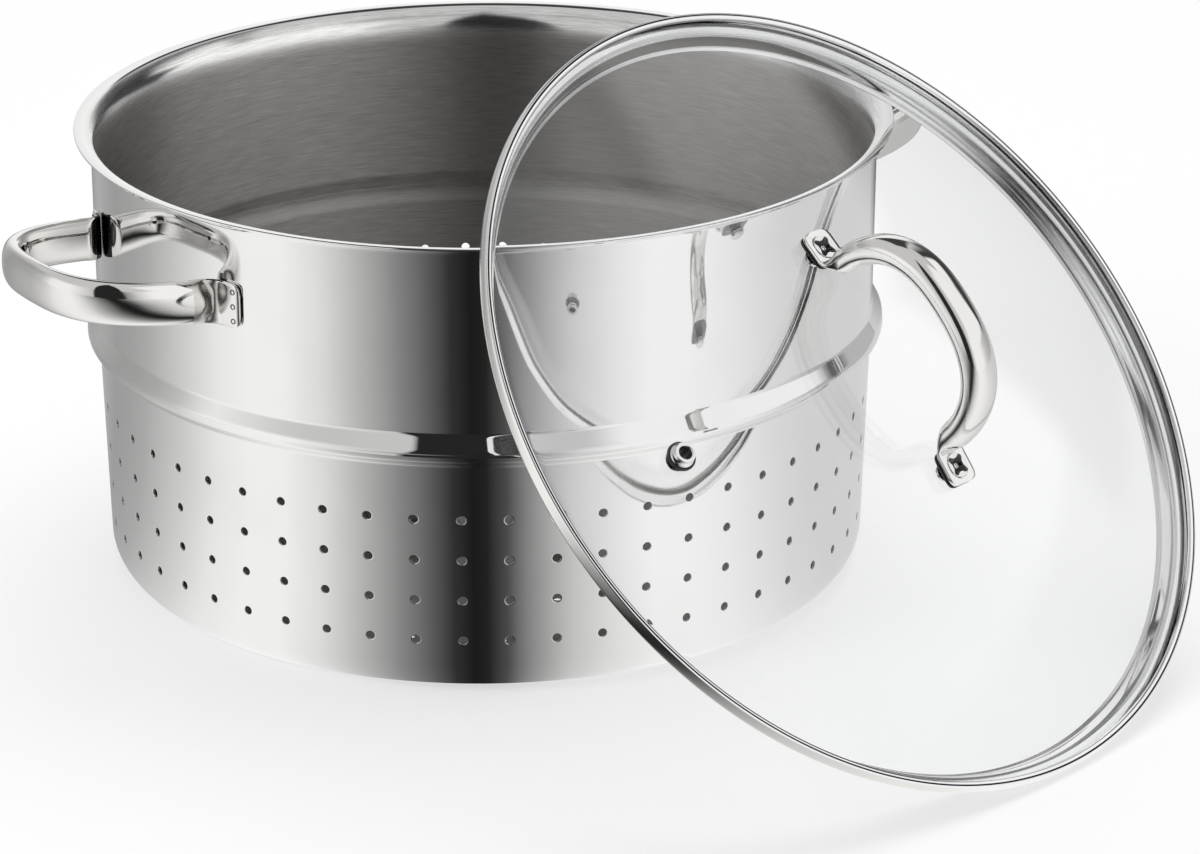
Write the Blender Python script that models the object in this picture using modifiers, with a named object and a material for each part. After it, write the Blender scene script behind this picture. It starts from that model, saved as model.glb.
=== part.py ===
# Steam juicer, upper part: the perforated fruit basket with its two welded
# tube handles, and the glass lid that leans on it with its ring on the floor.
# Lengths are metres and Z is up. The origin is on the basket's own axis, at
# the level it stands on. The front of the photograph looks along +Y.

import bmesh
import bpy
from math import asin, copysign, cos, pi, radians, sin, sqrt
from mathutils import Matrix, Vector


# Clearance left between two pieces that touch in the real thing.
gap = 0.0003

# Basket shell, drawn from one sheet.
sheet = 0.0007
wall_radius = 0.1405
basket_height = 0.165
rim_reach = 0.0058
rim_bend = 0.0030
rim_rise = radians(5)
bead_height = 0.0915
bead_half = 0.0065
bead_depth = 0.0042
foot_radius = 0.1386
corner_radius = 0.0125

# Rows of holes round the side, and rings of holes in the floor.
hole_radius = 0.00165
holes_round = 54
hole_rows = 4
lowest_row = 0.0208
row_pitch = 0.0150
first_hole = radians(-3.6)
floor_rings = ((0.034, 9), (0.064, 18), (0.094, 18))

# Side handles: flattened oval tube, its two ends pressed into welded tabs.
handle_heading = radians(-56.26)
loop_half_width = 0.0389
loop_reach = 0.1838
loop_squareness = 2.85
loop_drop = 0.0310
loop_rise = 0.1128
tube_tall = 0.0156
tube_thick = 0.0082
tab_tall = 0.0164
tab_thick = 0.0022
tab_far = radians(21.1)
tab_near = radians(17.3)

# Lid: how it leans, and how it is turned about its own axis.
lid_heading = radians(45.35)
lid_touch = 0.0635
lid_aside = -0.0063
lid_turn = radians(0.8)
rest_gap = 0.0006

# Lid glass, a shallow dome with a thinner edge.
dome_rise = 0.0196
dome_radius = 0.482
glass_thick = 0.0036
glass_edge_radius = 0.1451
edge_drop = 0.00535
edge_inner = 0.1434

# Lid ring, a pressed sheet that wraps the edge of the glass and hangs a skirt.
ring_sheet = 0.0005

# Steam vent in the glass.
vent_distance = 0.0975
vent_bore = 0.0023
vent_barrel = 0.0029
vent_flange = 0.0047
vent_seal_radius = 0.0050
vent_seal_thick = 0.0008

# Lid handle: flattened tube arch on two tabs, each held by one rivet.
arch_half_width = 0.0353
arch_top = 0.0360
arch_foot = 0.0031
arch_squareness = 2.4
arch_wide = 0.0140
arch_thick = 0.0096
foot_distance = 0.0434
foot_half_length = 0.0064
foot_wide = 0.0126
foot_thick = 0.0020
handle_shift = 0.0012
pad_thick = 0.0008
pad_margin = 0.0004
rivet_radius = 0.0020
rivet_end_radius = 0.0029
rivet_end_depth = 0.0012
rivet_head_radius = 0.0036
rivet_head_thick = 0.0011
seal_radius = 0.0040
seal_thick = 0.0008
washer_radius = 0.0042
washer_thick = 0.0006


for old in list(bpy.data.objects):
    bpy.data.objects.remove(old, do_unlink=True)
body = bpy.data.collections.new("steam_juicer")
tools = bpy.data.collections.new("cutters")
bpy.context.scene.collection.children.link(body)
bpy.context.scene.collection.children.link(tools)


def placed(name, mesh, home=body):
    thing = bpy.data.objects.new(name, mesh)
    home.objects.link(thing)
    if home is tools:
        thing.hide_render = True
        thing.display_type = "WIRE"
    return thing


def finish(thing, colour, metal, rough, clear=0.0):
    coat = bpy.data.materials.new(thing.name + "_finish")
    coat.use_nodes = True
    surface = coat.node_tree.nodes["Principled BSDF"]
    surface.inputs["Base Color"].default_value = (*colour, 1.0)
    surface.inputs["Metallic"].default_value = metal
    surface.inputs["Roughness"].default_value = rough
    surface.inputs["Transmission Weight"].default_value = clear
    thing.data.materials.append(coat)


def steel(thing):
    finish(thing, (0.74, 0.74, 0.75), 1.0, 0.12)


def silicone(thing):
    finish(thing, (0.03, 0.03, 0.03), 0.0, 0.55)


def turned(name, outline, steps, closed=False, home=body):
    # A half section at +X, turned once about Z.
    last = len(outline) - 1
    edges = [(k, k + 1) for k in range(last)]
    if closed:
        edges.append((last, 0))
    mesh = bpy.data.meshes.new(name)
    mesh.from_pydata([(r, 0.0, z) for r, z in outline], edges, [])
    thing = placed(name, mesh, home)
    turn = thing.modifiers.new("turn", "SCREW")
    turn.axis = "Z"
    turn.angle = 2 * pi
    turn.steps = steps
    turn.render_steps = steps
    turn.use_merge_vertices = True
    turn.merge_threshold = 0.00001
    turn.use_smooth_shade = True
    return thing


def inner_side(line, thickness):
    # The other face of a sheet whose outer face is the given line.
    offsets = []
    for here, there in zip(line, line[1:]):
        way = Vector((there[0] - here[0], there[1] - here[1])).normalized()
        offsets.append(Vector((way.y, -way.x)))
    result = []
    for k, point in enumerate(line):
        before = offsets[max(k - 1, 0)]
        after = offsets[min(k, len(offsets) - 1)]
        step = (before + after) * (thickness / (1 + before.dot(after)))
        result.append((point[0] + step.x, point[1] + step.y))
    return result


def drilled(thing, tool):
    cut = thing.modifiers.new(tool.name, "BOOLEAN")
    cut.operation = "DIFFERENCE"
    cut.solver = "EXACT"
    cut.object = tool


def rounded(value, squareness):
    return copysign(abs(value) ** (2 / squareness), value)


def lofted(name, stations, count=12, home=body):
    # Skins a row of rounded sections and closes both ends.
    form = bmesh.new()
    rings = []
    for centre, side, up, half_side, half_up, squareness in stations:
        ring = []
        for k in range(count):
            turn = 2 * pi * (k + 0.5) / count
            across = side * (half_side * rounded(cos(turn), squareness))
            along = up * (half_up * rounded(sin(turn), squareness))
            ring.append(form.verts.new(centre + across + along))
        rings.append(ring)
    for near, far in zip(rings, rings[1:]):
        for k in range(count):
            j = (k + 1) % count
            form.faces.new((near[k], near[j], far[j], far[k]))
    form.faces.new(rings[0])
    form.faces.new(rings[-1])
    bmesh.ops.recalc_face_normals(form, faces=form.faces)
    mesh = bpy.data.meshes.new(name)
    form.to_mesh(mesh)
    form.free()
    for face in mesh.polygons:
        face.use_smooth = len(face.vertices) == 4
    return placed(name, mesh, home)


def eased(start, start_way, end, end_way, parts):
    # Points strictly between two ends of a smooth bend.
    result = []
    for k in range(1, parts):
        t = k / parts
        u = 1 - t
        point = start * (u ** 3) + (start + start_way) * (3 * u * u * t)
        point = point + (end - end_way) * (3 * u * t * t) + end * (t ** 3)
        result.append(point)
    return result


def along_path(path, halves, up_way, turned_way):
    # Stations for a loft: a section square to the path at each point.
    stations = []
    for k, point in enumerate(path):
        way = path[min(k + 1, len(path) - 1)] - path[max(k - 1, 0)]
        side = turned_way(way.normalized())
        half_side, half_up, squareness = halves[k]
        stations.append((point, side, up_way, half_side, half_up, squareness))
    return stations


# Basket shell. The outer face is laid out from the tip of the rim down to the
# middle of the floor, and the inner face is one sheet inside it.
bend_level = basket_height - sheet - rim_bend * sin(pi / 2 + rim_rise)
rim_radius = wall_radius + rim_reach
bend_end = wall_radius + rim_bend * (1 + cos(pi / 2 + rim_rise))
bend_level -= (rim_radius - bend_end) * sin(rim_rise) / cos(rim_rise)
outer = [(rim_radius, basket_height - sheet)]
for turn in (pi / 2 + rim_rise, radians(123), radians(152), pi):
    level = bend_level + rim_bend * sin(turn)
    outer.append((wall_radius + rim_bend * (1 + cos(turn)), level))
for part in (1.0, 0.55, 0.0, -0.55, -1.0):
    out = bead_depth * (1 + cos(pi * part)) / 2
    base = wall_radius - (0.0003 if part < 0 else 0.0)
    outer.append((base + out, bead_height + part * bead_half))
taper = (wall_radius - 0.0003 - foot_radius) / (bead_height - bead_half - corner_radius)


def lower_wall(level):
    # The lower wall draws in a little towards the foot.
    return foot_radius + taper * (level - corner_radius)


for row in range(hole_rows - 2, -1, -1):
    level = lowest_row + (row + 0.5) * row_pitch
    outer.append((lower_wall(level), level))
for k in range(4):
    turn = k * pi / 6
    out = foot_radius - corner_radius * (1 - cos(turn))
    outer.append((out, corner_radius * (1 - sin(turn))))
outer.append((0.0, 0.0))
section = list(reversed(inner_side(outer, sheet))) + outer
shell = turned("basket_shell", section, holes_round)
hole_pitch = 2 * pi / holes_round
shell_turn = first_hole - pi / 2 + hole_pitch / 2
shell.rotation_euler = (0.0, 0.0, shell_turn)
steel(shell)

side_tool = bmesh.new()
for row in range(hole_rows):
    level = lowest_row + row * row_pitch
    for k in range(holes_round):
        spot = Matrix.Rotation(hole_pitch * (k + 0.5), 4, "Z")
        spot = spot @ Matrix.Translation((lower_wall(level), 0.0, level))
        spot = spot @ Matrix.Rotation(pi / 2, 4, "Y")
        bmesh.ops.create_cone(side_tool, cap_ends=True, segments=6, matrix=spot,
                              radius1=hole_radius, radius2=hole_radius,
                              depth=0.010)
side_mesh = bpy.data.meshes.new("side_holes")
side_tool.to_mesh(side_mesh)
side_tool.free()
side_holes = placed("side_holes", side_mesh, tools)
side_holes.rotation_euler = (0.0, 0.0, shell_turn)
drilled(shell, side_holes)

floor_tool = bmesh.new()
for ring_radius, count in floor_rings:
    skip = holes_round // count
    for k in range(count):
        spot = Matrix.Rotation(hole_pitch * (k * skip + 0.5), 4, "Z")
        spot = spot @ Matrix.Translation((ring_radius, 0.0, sheet / 2))
        bmesh.ops.create_cone(floor_tool, cap_ends=True, segments=6, matrix=spot,
                              radius1=hole_radius, radius2=hole_radius,
                              depth=0.006)
floor_mesh = bpy.data.meshes.new("floor_holes")
floor_tool.to_mesh(floor_mesh)
floor_tool.free()
floor_holes = placed("floor_holes", floor_mesh, tools)
floor_holes.rotation_euler = (0.0, 0.0, shell_turn)
drilled(shell, floor_holes)


# Side handles. Half of the path is laid out from the end of one tab to the
# middle of the loop, and the other half is its mirror image.
tab_radius = wall_radius + gap + tab_thick / 2
loop_start = sqrt(wall_radius ** 2 - loop_half_width ** 2) - 0.004
half = []
sizes = []
for part, tall in ((0.0, 0.62), (0.12, 0.86), (0.35, 1.0), (1.0, 1.0)):
    turn = tab_far + (tab_near - tab_far) * part
    half.append(Vector((tab_radius * cos(turn), tab_radius * sin(turn), 0.0)))
    sizes.append((tab_thick / 2, tab_tall / 2 * tall, 5.0))
loop = []
for turn in (83.0, 77.0, 69.0, 58.0, 47.0, 36.0, 25.0, 15.0, 7.0, 0.0):
    x = loop_start + (loop_reach - loop_start) * cos(radians(turn)) ** (2 / loop_squareness)
    y = loop_half_width * sin(radians(turn)) ** (2 / loop_squareness)
    loop.append(Vector((x, y, 0.0)))
tab_way = Vector((sin(tab_near), -cos(tab_near), 0.0)) * 0.0026
half += eased(half[-1], tab_way, loop[0], Vector((0.0040, 0.0, 0.0)), 4)
sizes += [(0.0012, 0.0082, 4.2), (0.0016, 0.0081, 3.6), (0.0023, 0.0080, 3.0)]
half += loop
sizes += [(0.0032, 0.0079, 2.6)] + [(tube_thick / 2, tube_tall / 2, 2.3)] * 9
for point in half:
    point.z = basket_height - loop_drop + loop_rise * (point.x - loop_start)
mirrored = [Vector((p.x, -p.y, p.z)) for p in reversed(half[:-1])]
path = half + mirrored
sizes = sizes + list(reversed(sizes[:-1]))


def plan_side(way):
    return Vector((way.y, -way.x, 0.0)).normalized()


for name, heading in (("left_side_handle", handle_heading),
                      ("right_side_handle", handle_heading + pi)):
    handle = lofted(name, along_path(path, sizes, Vector((0.0, 0.0, 1.0)), plan_side))
    handle.rotation_euler = (0.0, 0.0, heading - pi / 2)
    steel(handle)


# Lid ring. Its outer face starts on the glass at the inner edge of the top
# lip, goes over the ridge and down the outside, under the glass, and down the
# skirt to the turned-in hem. Heights are below the top of the ring.
ring_outer = [(0.1430, -0.0013), (0.1447, 0.0), (0.1460, -0.0008), (0.1461, -0.0034),
              (0.1454, -0.0049), (0.1442, -0.0063), (0.1400, -0.0067), (0.1386, -0.0096),
              (0.1378, -0.0121), (0.1363, -0.0129)]
ring_inner = inner_side(ring_outer, ring_sheet)

# The glass. The top is one dome, and the underside a slightly flatter one, so
# that the edge is thinner.
under_drop = dome_rise - glass_thick + edge_drop
under_radius = (edge_inner ** 2 + under_drop ** 2) / (2 * under_drop)
under_centre = dome_rise - glass_thick - under_radius


def dome_top(radius):
    return dome_rise - dome_radius + sqrt(dome_radius ** 2 - radius ** 2)


def dome_under(radius):
    return under_centre + sqrt(under_radius ** 2 - radius ** 2)


# The lid's frame: the centre of the ring's top, X level, Y up the slope and Z
# out of the glass. The ring's lowest edge is on the floor, and the lid leans
# so far that the rim of the basket meets the underside of the glass above the
# upper rivet.
def ring_level(lean):
    return max(r * sin(lean) - h * cos(lean) for r, h in ring_outer)


flat = radians(15)
steep = radians(80)
for halving in range(40):
    lid_lean = (flat + steep) / 2
    touch_level = ring_level(lid_lean) + lid_touch * sin(lid_lean)
    touch_level += dome_under(lid_touch) * cos(lid_lean)
    if touch_level < basket_height:
        flat = lid_lean
    else:
        steep = lid_lean
up_slope = sin(lid_lean)
lid_level = ring_level(lid_lean)
centre_level = lid_level + under_centre * cos(lid_lean)
reach = sqrt((under_radius - rest_gap) ** 2 - (basket_height - centre_level) ** 2)
behind = sqrt((reach - rim_radius) ** 2 - lid_aside ** 2)
lid_away = -under_centre * up_slope - behind
lid_frame = bpy.data.objects.new("lid_frame", None)
body.objects.link(lid_frame)
lid_frame.location = (lid_away * sin(lid_heading) + lid_aside * cos(lid_heading),
                      -lid_away * cos(lid_heading) + lid_aside * sin(lid_heading),
                      lid_level)
lid_frame.rotation_euler = (lid_lean, 0.0, lid_heading)

ring = turned("lid_rim_ring", ring_outer + list(reversed(ring_inner)), 72, closed=True)
ring.parent = lid_frame
steel(ring)


# Lid glass, with its edge ground to a blunt round.
stops = (0.0, 0.024, 0.037, 0.050, 0.074, 0.091, 0.104, 0.124)
glass_line = [(r, dome_top(r)) for r in stops]
glass_line.append((glass_edge_radius - 0.0012, dome_top(glass_edge_radius - 0.0012)))
glass_line.append((glass_edge_radius, dome_top(glass_edge_radius) - 0.0004))
glass_line.append((glass_edge_radius, -edge_drop + 0.0015))
glass_line += [(r, dome_under(r)) for r in reversed(stops + (edge_inner,))]
glass = turned("lid_glass", glass_line, 36)
glass.parent = lid_frame
finish(glass, (0.93, 0.96, 0.95), 0.0, 0.02, 1.0)


# Steam vent: a flanged eyelet rolled over under the glass, on a black washer.
# Heights are above the top of the glass at the vent.
vent_frame = bpy.data.objects.new("vent_frame", None)
body.objects.link(vent_frame)
vent_frame.parent = lid_frame
vent_frame.location = (-vent_distance * cos(lid_turn), -vent_distance * sin(lid_turn),
                       dome_top(vent_distance))
vent_frame.rotation_euler = (0.0, -asin(vent_distance / dome_radius), lid_turn)
vent_under = -glass_thick - gap
vent_seat = gap + vent_seal_thick + gap
vent_line = [(vent_bore, vent_seat + 0.0017), (vent_bore + 0.0003, vent_seat + 0.0020),
             (vent_barrel, vent_seat + 0.0019), (vent_barrel + 0.0003, vent_seat + 0.0012),
             (vent_flange - 0.0003, vent_seat + 0.0006), (vent_flange, vent_seat),
             (vent_barrel, vent_seat), (vent_barrel, vent_under),
             (vent_flange - 0.0002, vent_under), (vent_flange - 0.0002, vent_under - 0.0005),
             (vent_bore, vent_under - 0.0006)]
eyelet = turned("vent_eyelet", vent_line, 24, closed=True)
eyelet.parent = vent_frame
steel(eyelet)
vent_hole_radius = vent_barrel + gap
vent_seal = turned("vent_gasket", [(vent_hole_radius, gap + vent_seal_thick),
                                   (vent_seal_radius, gap + vent_seal_thick),
                                   (vent_seal_radius, gap), (vent_hole_radius, gap)],
                   24, closed=True)
vent_seal.parent = vent_frame
silicone(vent_seal)
vent_tool = turned("vent_hole", [(0.0, 0.006), (vent_hole_radius, 0.006),
                                 (vent_hole_radius, -0.010), (0.0, -0.010)],
                   24, home=tools)
vent_tool.parent = vent_frame
drilled(glass, vent_tool)


# Lid handle, laid out in a frame at the centre of the dome, so that both feet
# stand on the glass alike. Half of the path runs from the end of one foot to
# the top of the arch.
handle_frame = bpy.data.objects.new("handle_frame", None)
body.objects.link(handle_frame)
handle_frame.parent = lid_frame
handle_frame.location = (0.0, 0.0, dome_rise - dome_radius)
handle_frame.rotation_euler = (-asin(handle_shift / dome_radius), 0.0, lid_turn)
foot_base = gap + pad_thick + gap
foot_sphere = dome_radius + foot_base + foot_thick / 2
half = []
sizes = []
for part, wide in ((1.0, 0.60), (0.86, 0.84), (0.55, 1.0), (-0.55, 1.0)):
    turn = (foot_distance + part * foot_half_length) / dome_radius
    half.append(Vector((0.0, foot_sphere * sin(turn), foot_sphere * cos(turn))))
    sizes.append((foot_thick / 2, foot_wide / 2 * wide, 5.0))
arch = []
for turn in (78.0, 70.0, 61.0, 51.0, 41.0, 31.0, 21.0, 12.0, 5.0, 0.0):
    y = arch_half_width * sin(radians(turn)) ** (2 / arch_squareness)
    z = (arch_top - arch_foot) * cos(radians(turn)) ** (2 / arch_squareness)
    arch.append(Vector((0.0, y, dome_radius + arch_foot + z)))
foot_turn = (foot_distance - 0.55 * foot_half_length) / dome_radius
foot_way = Vector((0.0, -cos(foot_turn), sin(foot_turn))) * 0.0042
rise_way = (arch[0] - Vector((0.0, arch_half_width, dome_radius + arch_foot))).normalized()
half += eased(half[-1], foot_way, arch[0], rise_way * 0.0045, 5)
sizes += [(0.0012, 0.0063, 4.2), (0.0018, 0.0064, 3.6), (0.0026, 0.0066, 3.0),
          (0.0035, 0.0068, 2.6)]
half += arch
sizes += [(0.0043, 0.0069, 2.4)] + [(arch_thick / 2, arch_wide / 2, 2.3)] * 9
mirrored = [Vector((0.0, -p.y, p.z)) for p in reversed(half[:-1])]
path = half + mirrored
sizes = sizes + list(reversed(sizes[:-1]))


def arch_side(way):
    return Vector((0.0, -way.z, way.y)).normalized()


lid_handle = lofted("lid_handle", along_path(path, sizes, Vector((1.0, 0.0, 0.0)), arch_side))
lid_handle.parent = handle_frame
steel(lid_handle)

# Each foot is held by a rivet from inside. Heights are above the top of the
# glass at the foot; the rivet's outer end is spread in a countersink.
foot_top = foot_base + foot_thick
rivet_hole = rivet_radius + gap
seal_top = -glass_thick - gap
washer_top = seal_top - seal_thick - gap
head_top = washer_top - washer_thick - gap
for name, side in (("upper", 1), ("lower", -1)):
    turn = foot_distance / dome_radius
    spot = (0.0, side * dome_radius * sin(turn), dome_radius * cos(turn))
    lean = (-side * turn, 0.0, 0.0)

    half_wide = foot_wide / 2 + pad_margin
    half_long = foot_half_length + pad_margin
    pad = lofted(name + "_handle_gasket",
                 [(Vector((0.0, 0.0, level)), Vector((1.0, 0.0, 0.0)),
                   Vector((0.0, 1.0, 0.0)), half_wide, half_long, 5.0)
                  for level in (gap, gap + pad_thick)], count=20)
    silicone(pad)

    end_level = foot_top - 0.0001
    rivet = turned(name + "_handle_rivet",
                   [(0.0, end_level), (rivet_end_radius, end_level),
                    (rivet_radius, end_level - rivet_end_depth), (rivet_radius, head_top),
                    (rivet_head_radius, head_top),
                    (rivet_head_radius - 0.0004, head_top - rivet_head_thick),
                    (0.0, head_top - rivet_head_thick)], 16)
    steel(rivet)

    seal = turned(name + "_inner_seal",
                  [(rivet_hole, seal_top), (seal_radius, seal_top),
                   (seal_radius, seal_top - seal_thick), (rivet_hole, seal_top - seal_thick)],
                  20, closed=True)
    silicone(seal)

    washer = turned(name + "_inner_washer",
                    [(rivet_hole, washer_top), (washer_radius, washer_top),
                     (washer_radius, washer_top - washer_thick),
                     (rivet_hole, washer_top - washer_thick)], 20, closed=True)
    steel(washer)

    flare = (rivet_end_radius - rivet_radius) / rivet_end_depth
    bore = turned(name + "_rivet_hole",
                  [(0.0, foot_top + 0.001),
                   (rivet_end_radius + gap + flare * 0.0011, foot_top + 0.001),
                   (rivet_hole, end_level - rivet_end_depth), (rivet_hole, seal_top),
                   (0.0, seal_top)], 16, home=tools)
    for thing in (pad, rivet, seal, washer, bore):
        thing.parent = handle_frame
        thing.location = spot
        thing.rotation_euler = lean
    drilled(lid_handle, bore)
    drilled(pad, bore)
    drilled(glass, bore)
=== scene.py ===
# Steam juicer, upper part, as the photograph shows it: the mirror-polished
# fruit basket with its two welded tube handles, and the glass lid that stands
# on its ring on the floor and leans on the basket's rim.
# Lengths are metres, Z is up and the origin is on the basket's own axis.

import bmesh
import bpy
from math import asin, atan2, copysign, cos, exp, hypot, pi, radians, sin, sqrt
from mathutils import Matrix, Vector


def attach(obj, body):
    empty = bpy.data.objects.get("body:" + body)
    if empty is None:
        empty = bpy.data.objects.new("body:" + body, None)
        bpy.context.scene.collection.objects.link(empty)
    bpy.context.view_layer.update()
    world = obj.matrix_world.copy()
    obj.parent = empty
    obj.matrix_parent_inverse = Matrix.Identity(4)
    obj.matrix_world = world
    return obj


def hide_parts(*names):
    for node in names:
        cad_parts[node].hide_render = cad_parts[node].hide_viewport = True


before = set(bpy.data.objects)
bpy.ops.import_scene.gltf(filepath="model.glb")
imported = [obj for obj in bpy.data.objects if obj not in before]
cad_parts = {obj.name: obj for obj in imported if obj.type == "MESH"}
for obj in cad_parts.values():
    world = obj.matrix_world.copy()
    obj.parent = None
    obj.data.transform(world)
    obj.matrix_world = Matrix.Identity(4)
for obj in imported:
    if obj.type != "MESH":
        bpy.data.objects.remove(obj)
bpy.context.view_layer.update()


# Basket shell: one sheet of stainless steel, drawn deep, with a flared rim and
# a bead rolled into the wall, then punched with four rows of round holes and
# three rings of them in the floor. Mirror outside, brushed round inside.
sheet = 0.0007
wall_radius = 0.1405
basket_height = 0.165
rim_reach = 0.0058
rim_bend = 0.0030
rim_rise = radians(5)
bead_height = 0.0915
bead_half = 0.0065
bead_depth = 0.0042
bead_crest = -0.30
foot_radius = 0.1386
corner_radius = 0.0125
below_bead = 0.0003

hole_radius = 0.00162
hole_roll = 0.00026
roll_depth = 0.00010
holes_round = 54
hole_rows = 4
lowest_row = 0.0208
row_pitch = 0.0150
first_hole = radians(-3.6)
floor_edge = 0.109
floor_ring = 0.034
floor_ring_pitch = 0.030

wall_waists = 3.0
waist_span = 0.030
wall_opens = 4.0
opens_span = 0.022
inside_opens = 52.0
inside_span = 0.0125
wall_zone = 0.13
square_on = 0.996

mirror_tone = (0.865, 0.862, 0.855)
satin_tone = (0.635, 0.614, 0.596)
# Painted shade: the inside is darkened to this share at the basket's floor.
floor_painted_shade = 0.60
floor_painted_shade_levels = (0.004, 0.030)
brush_end_levels = (0.1500, 0.1590)
rim_gloss = 0.72
lines_round = 13.0

rim_radius = wall_radius + rim_reach
bend_end = wall_radius + rim_bend * (1 + cos(pi / 2 + rim_rise))
bend_level = basket_height - sheet - rim_bend * sin(pi / 2 + rim_rise)
bend_level -= (rim_radius - bend_end) * sin(rim_rise) / cos(rim_rise)
taper = (wall_radius - below_bead - foot_radius) / (bead_height - bead_half - corner_radius)
band_low = lowest_row - row_pitch / 2
band_high = lowest_row + (hole_rows - 0.5) * row_pitch
hole_pitch = 2 * pi / holes_round
shell_turn = first_hole - pi / 2 + hole_pitch / 2


def lower_wall(level):
    return foot_radius + taper * (level - corner_radius)


def rgba(tone):
    # A grey or a colour as the four numbers that a colour socket takes.
    return (*tone, 1.0) if isinstance(tone, tuple) else (tone, tone, tone, 1.0)


def feed(made, feeds):
    # Links or sets each of the named sockets of a node.
    for name, value in feeds.items():
        if isinstance(value, bpy.types.NodeSocket):
            made.id_data.links.new(value, made.inputs[name])
        else:
            made.inputs[name].default_value = value


class Nodes:
    # Builds one node tree. Each step adds a node and gives its first output.
    def __init__(self, tree):
        self.tree = tree

    def add(self, kind, feeds=None, **settings):
        for family in ("ShaderNode", "GeometryNode", "FunctionNode"):
            if hasattr(bpy.types, family + kind):
                break
        made = self.tree.nodes.new(family + kind)
        for name, value in settings.items():
            setattr(made, name, value)
        feed(made, feeds or {})
        return next(iter(made.outputs), None)

    def maths(self, operation, a, b=0.0, c=0.0):
        return self.add("Math", {0: a, 1: b, 2: c}, operation=operation)

    def times(self, a, b):
        return self.maths("MULTIPLY", a, b)

    def plus(self, a, b):
        return self.maths("ADD", a, b)

    def minus(self, a, b):
        return self.maths("SUBTRACT", a, b)

    def times_plus(self, a, b, c):
        return self.maths("MULTIPLY_ADD", a, b, c)

    def larger(self, a, b):
        return self.maths("MAXIMUM", a, b)

    def ranged(self, value, low, high, out_low=0.0, out_high=1.0):
        feeds = {0: value, 1: low, 2: high, 3: out_low, 4: out_high}
        return self.add("MapRange", feeds, interpolation_type="SMOOTHSTEP")

    def mixed(self, factor, a, b):
        a, b = (one if isinstance(one, bpy.types.NodeSocket) else rgba(one) for one in (a, b))
        return self.add("Mix", {0: factor, 6: a, 7: b}, data_type="RGBA").node.outputs[2]

    def scaled(self, vector, size):
        return self.add("VectorMath", {0: vector, 3: size}, operation="SCALE")

    def vector(self, x=0.0, y=0.0, z=0.0):
        return self.add("CombineXYZ", {0: x, 1: y, 2: z})

    def parts(self, vector):
        return self.add("SeparateXYZ", {0: vector}).node.outputs

    def from_axis(self, x, y):
        return self.maths("SQRT", self.plus(self.times(x, x), self.times(y, y)))

    def noise(self, place, scale, detail=2.0, rough=0.5):
        return self.add("TexNoise", {"Vector": place, "Scale": scale, "Detail": detail,
                                     "Roughness": rough})

    def bump(self, height, strength, distance):
        return self.add("Bump", {"Height": height, "Strength": strength, "Distance": distance})

    def place(self):
        return self.add("TexCoord").node.outputs["Object"]

    def grouped(self, used, feeds):
        return self.add("Group", feeds, node_tree=used.tree).node.outputs


def group(name, kind, inputs, outputs):
    # A node group, each of its sockets given by its usual value or its kind.
    tree = bpy.data.node_groups.new(name, kind)
    kinds = {int: "Int", float: "Float", bpy.types.Material: "Material"}
    for way, sockets in (("INPUT", inputs), ("OUTPUT", outputs)):
        for label, value in sockets.items():
            known = kinds.get(type(value), value)
            made = tree.interface.new_socket(label, in_out=way, socket_type="NodeSocket" + known)
            if known != value:
                made.default_value = value
    given = tree.nodes.new("NodeGroupInput").outputs
    return Nodes(tree), given, tree.nodes.new("NodeGroupOutput")


surface_marks = {"Tone": "Float", "Roughness": "Float", "Height": "Float"}

# What handling leaves on polished steel: soft cloudy smears, a few thin wiping
# lines, and the slight waviness of pressed sheet.
handled, given, result = group(
    "handled_steel", "ShaderNodeTree",
    {"Place": "Vector", "Size": 1.0, "Smear": 0.03, "Shine": 0.04}, surface_marks)
spread = handled.scaled(given["Place"], given["Size"])
cloud = handled.ranged(handled.noise(spread, 26.0, 3.0), 0.42, 0.72)
drawn_out = handled.add("Mapping", {"Vector": spread, "Rotation": (0.5, 0.2, 0.7),
                                    "Scale": (30.0, 420.0, 900.0)})
wiped = handled.ranged(handled.noise(drawn_out, 1.0), 0.66, 0.74)
soiled = handled.larger(cloud, handled.times(wiped, 0.6))
feed(result, {"Tone": handled.times_plus(cloud, -0.035, 1.0),
              "Roughness": handled.times_plus(soiled, given["Smear"], given["Shine"]),
              "Height": handled.noise(spread, 55.0, 1.0)})

# The lines that a brushing wheel leaves, running round the piece's axis Z.
brushed, given, result = group(
    "brushed_round", "ShaderNodeTree",
    {"Place": "Vector", "Fineness": 1500.0, "Softness": 0.30, "Variation": 0.12}, surface_marks)
x, y, z = brushed.parts(given["Place"])
distance = brushed.from_axis(x, y)
around = [brushed.times(brushed.maths("DIVIDE", way, distance), lines_round) for way in (x, y)]
across = brushed.times(brushed.plus(distance, z), given["Fineness"])
fine = brushed.noise(brushed.vector(*around, across), 1.0, 2.0, 0.7)
wide = brushed.noise(brushed.vector(*around, brushed.times(across, 0.22)), 1.0, 3.0)
uneven = brushed.minus(brushed.times_plus(fine, 0.80, brushed.times(wide, 0.20)), 0.5)
feed(result, {"Tone": brushed.plus(uneven, 1.0),
              "Roughness": brushed.times_plus(uneven, given["Variation"], given["Softness"]),
              "Height": fine})


def finish(name):
    # A material with only its output and main shader.
    made = bpy.data.materials.new(name)
    made.use_nodes = True
    return made, Nodes(made.node_tree), made.node_tree.nodes["Principled BSDF"]


def polished(name, colour, shine, smear, size=1.0, wave=0.0):
    made, nodes, shader = finish(name)
    marks = nodes.grouped(handled, {"Place": nodes.place(), "Size": size, "Smear": smear,
                                    "Shine": shine})
    feed(shader, {"Metallic": 1.0, "Base Color": nodes.scaled(colour, marks["Tone"]),
                  "Roughness": marks["Roughness"]})
    if wave:
        feed(shader, {"Normal": nodes.bump(marks["Height"], 0.25, wave)})
    return made


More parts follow.
